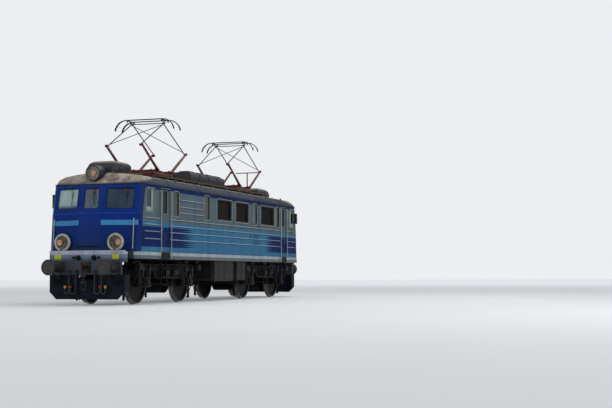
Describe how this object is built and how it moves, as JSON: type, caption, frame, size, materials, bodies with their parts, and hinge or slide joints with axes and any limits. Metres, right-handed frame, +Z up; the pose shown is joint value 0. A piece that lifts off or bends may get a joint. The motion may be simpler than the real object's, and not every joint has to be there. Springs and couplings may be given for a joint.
{
  "type": "electric locomotive",
  "caption": "Electric locomotive with a cab at each end, swept fronts with twin lamps, ribbed sides with slatted intakes, powered bogies and folding diamond pantographs",
  "frame": {"origin": "middle of the locomotive in plan, at the level of the tips of the wheel flanges", "axes": "X along the track, Y to the left of travel, Z up"},
  "size_m": [15.915, 3.2, 5.789],
  "materials": {
    "side_paint": "satin",
    "front_paint": "satin",
    "window_pane": "gloss",
    "grille_paint": "matte",
    "roof_paint": "matte",
    "hood_paint": "matte",
    "sill_paint": "satin",
    "beam_paint": "satin",
    "buffer_paint": "matte",
    "hook_iron": "matte",
    "lamp_paint": "satin",
    "rail_paint": "satin",
    "cab_paint": "matte",
    "machine_paint": "matte",
    "box_paint": "matte",
    "insulator_glaze": "gloss",
    "pantograph_red": "satin",
    "pantograph_dark": "matte",
    "bogie_paint": "matte",
    "bogie_iron": "matte",
    "wheel_steel": "satin"
  },
  "bodies": {
    "carbody": {"side_left": "side_paint", "side_right": "side_paint", "cab_front": "front_paint", "cab_rear": "front_paint", "window_glass": "window_pane", "intake_grilles": "grille_paint", "roof": "roof_paint", "roof_walkways": "roof_paint", "underframe": "sill_paint", "deflectors": "beam_paint", "buffers": "buffer_paint", "couplings": "hook_iron", "headlamps": "lamp_paint", "lamp_glass": "window_pane", "handrails": "rail_paint", "door_steps": "bogie_paint", "cab_bulkheads": "cab_paint", "cab_fittings": "cab_paint", "machine_block": "machine_paint", "battery_boxes": "box_paint", "air_reservoirs": "bogie_paint", "roof_insulators": "insulator_glaze", "pantograph_bases": "pantograph_red", "roof_busbars": "pantograph_red", "resistor_hoods": "hood_paint", "cab_hoods": "hood_paint", "mirrors": "hood_paint", "brake_hoses": "buffer_paint"},
    "door_front_left": {"door_front_left": "side_paint"},
    "door_front_right": {"door_front_right": "side_paint"},
    "door_rear_left": {"door_rear_left": "side_paint"},
    "door_rear_right": {"door_rear_right": "side_paint"},
    "bogie_front": {"bogie_frame_front": "bogie_paint", "axleboxes_front": "bogie_iron", "springs_front": "bogie_paint", "motors_front": "bogie_paint", "brake_gear_front": "bogie_paint"},
    "wheelset_1": {"wheelset_1": "wheel_steel"},
    "wheelset_2": {"wheelset_2": "wheel_steel"},
    "bogie_rear": {"bogie_frame_rear": "bogie_paint", "axleboxes_rear": "bogie_iron", "springs_rear": "bogie_paint", "motors_rear": "bogie_paint", "brake_gear_rear": "bogie_paint"},
    "wheelset_3": {"wheelset_3": "wheel_steel"},
    "wheelset_4": {"wheelset_4": "wheel_steel"},
    "lower_arms_front_fore": {"lower_arms_front_fore": "pantograph_red"},
    "upper_arms_front_fore": {"upper_arms_front_fore": "pantograph_dark"},
    "lower_arms_front_aft": {"lower_arms_front_aft": "pantograph_red"},
    "upper_arms_front_aft": {"upper_arms_front_aft": "pantograph_dark"},
    "pantograph_head_front": {"pantograph_head_front": "pantograph_dark"},
    "lower_arms_rear_fore": {"lower_arms_rear_fore": "pantograph_red"},
    "upper_arms_rear_fore": {"upper_arms_rear_fore": "pantograph_dark"},
    "lower_arms_rear_aft": {"lower_arms_rear_aft": "pantograph_red"},
    "upper_arms_rear_aft": {"upper_arms_rear_aft": "pantograph_dark"},
    "pantograph_head_rear": {"pantograph_head_rear": "pantograph_dark"}
  },
  "joints": [
    {"name": "door_front_left_hinge", "type": "hinge", "parent": "carbody", "child": "door_front_left", "pos_m": [4.955, 1.394, 2.5], "axis": [0, 0, -1], "range_deg": [0, 90]},
    {"name": "door_front_right_hinge", "type": "hinge", "parent": "carbody", "child": "door_front_right", "pos_m": [4.955, -1.394, 2.5], "axis": [0, 0, 1], "range_deg": [0, 90]},
    {"name": "door_rear_left_hinge", "type": "hinge", "parent": "carbody", "child": "door_rear_left", "pos_m": [-4.955, 1.394, 2.5], "axis": [0, 0, 1], "range_deg": [0, 90]},
    {"name": "door_rear_right_hinge", "type": "hinge", "parent": "carbody", "child": "door_rear_right", "pos_m": [-4.955, -1.394, 2.5], "axis": [0, 0, -1], "range_deg": [0, 90]},
    {"name": "bogie_front_yaw", "type": "hinge", "parent": "carbody", "child": "bogie_front", "pos_m": [4.25, 0, 1.4], "axis": [0, 0, 1], "range_deg": [-3, 3]},
    {"name": "wheelset_1_axle", "type": "hinge", "parent": "bogie_front", "child": "wheelset_1", "pos_m": [5.775, 0, 0.653], "axis": [0, 1, 0], "continuous": true},
    {"name": "wheelset_2_axle", "type": "hinge", "parent": "bogie_front", "child": "wheelset_2", "pos_m": [2.725, 0, 0.653], "axis": [0, 1, 0], "continuous": true},
    {"name": "bogie_rear_yaw", "type": "hinge", "parent": "carbody", "child": "bogie_rear", "pos_m": [-4.25, 0, 1.4], "axis": [0, 0, 1], "range_deg": [-3, 3]},
    {"name": "wheelset_3_axle", "type": "hinge", "parent": "bogie_rear", "child": "wheelset_3", "pos_m": [-2.725, 0, 0.653], "axis": [0, 1, 0], "continuous": true},
    {"name": "wheelset_4_axle", "type": "hinge", "parent": "bogie_rear", "child": "wheelset_4", "pos_m": [-5.775, 0, 0.653], "axis": [0, 1, 0], "continuous": true},
    {"name": "pantograph_front_fold", "type": "hinge", "parent": "carbody", "child": "lower_arms_front_fore", "pos_m": [3.94, 0, 4.128], "axis": [0, 1, 0], "range_deg": [-10, 31]},
    {"name": "upper_arms_front_fore_hinge", "type": "hinge", "parent": "lower_arms_front_fore", "child": "upper_arms_front_fore", "pos_m": [5.07, 0, 4.818], "axis": [0, -1, 0], "range_deg": [-17.7, 54.85]},
    {"name": "lower_arms_front_aft_hinge", "type": "hinge", "parent": "carbody", "child": "lower_arms_front_aft", "pos_m": [2.96, 0, 4.128], "axis": [0, -1, 0], "range_deg": [-10, 31]},
    {"name": "upper_arms_front_aft_hinge", "type": "hinge", "parent": "lower_arms_front_aft", "child": "upper_arms_front_aft", "pos_m": [1.83, 0, 4.818], "axis": [0, 1, 0], "range_deg": [-17.7, 54.85]},
    {"name": "pantograph_head_front_hinge", "type": "hinge", "parent": "upper_arms_front_fore", "child": "pantograph_head_front", "pos_m": [3.45, 0, 5.663], "axis": [0, 1, 0], "range_deg": [-7.7, 23.85]},
    {"name": "pantograph_rear_fold", "type": "hinge", "parent": "carbody", "child": "lower_arms_rear_fore", "pos_m": [-2.96, 0, 4.128], "axis": [0, 1, 0], "range_deg": [-10, 31]},
    {"name": "upper_arms_rear_fore_hinge", "type": "hinge", "parent": "lower_arms_rear_fore", "child": "upper_arms_rear_fore", "pos_m": [-1.83, 0, 4.818], "axis": [0, -1, 0], "range_deg": [-17.7, 54.85]},
    {"name": "lower_arms_rear_aft_hinge", "type": "hinge", "parent": "carbody", "child": "lower_arms_rear_aft", "pos_m": [-3.94, 0, 4.128], "axis": [0, -1, 0], "range_deg": [-10, 31]},
    {"name": "upper_arms_rear_aft_hinge", "type": "hinge", "parent": "lower_arms_rear_aft", "child": "upper_arms_rear_aft", "pos_m": [-5.07, 0, 4.818], "axis": [0, 1, 0], "range_deg": [-17.7, 54.85]},
    {"name": "pantograph_head_rear_hinge", "type": "hinge", "parent": "upper_arms_rear_fore", "child": "pantograph_head_rear", "pos_m": [-3.45, 0, 5.663], "axis": [0, 1, 0], "range_deg": [-7.7, 23.85]}
  ],
  "couplings": [
    {"joint": "upper_arms_front_fore_hinge", "follows": "pantograph_front_fold", "ratio": 1.769},
    {"joint": "lower_arms_front_aft_hinge", "follows": "pantograph_front_fold", "ratio": 1},
    {"joint": "upper_arms_front_aft_hinge", "follows": "pantograph_front_fold", "ratio": 1.769},
    {"joint": "pantograph_head_front_hinge", "follows": "pantograph_front_fold", "ratio": 0.769},
    {"joint": "upper_arms_rear_fore_hinge", "follows": "pantograph_rear_fold", "ratio": 1.769},
    {"joint": "lower_arms_rear_aft_hinge", "follows": "pantograph_rear_fold", "ratio": 1},
    {"joint": "upper_arms_rear_aft_hinge", "follows": "pantograph_rear_fold", "ratio": 1.769},
    {"joint": "pantograph_head_rear_hinge", "follows": "pantograph_rear_fold", "ratio": 0.769}
  ]
}
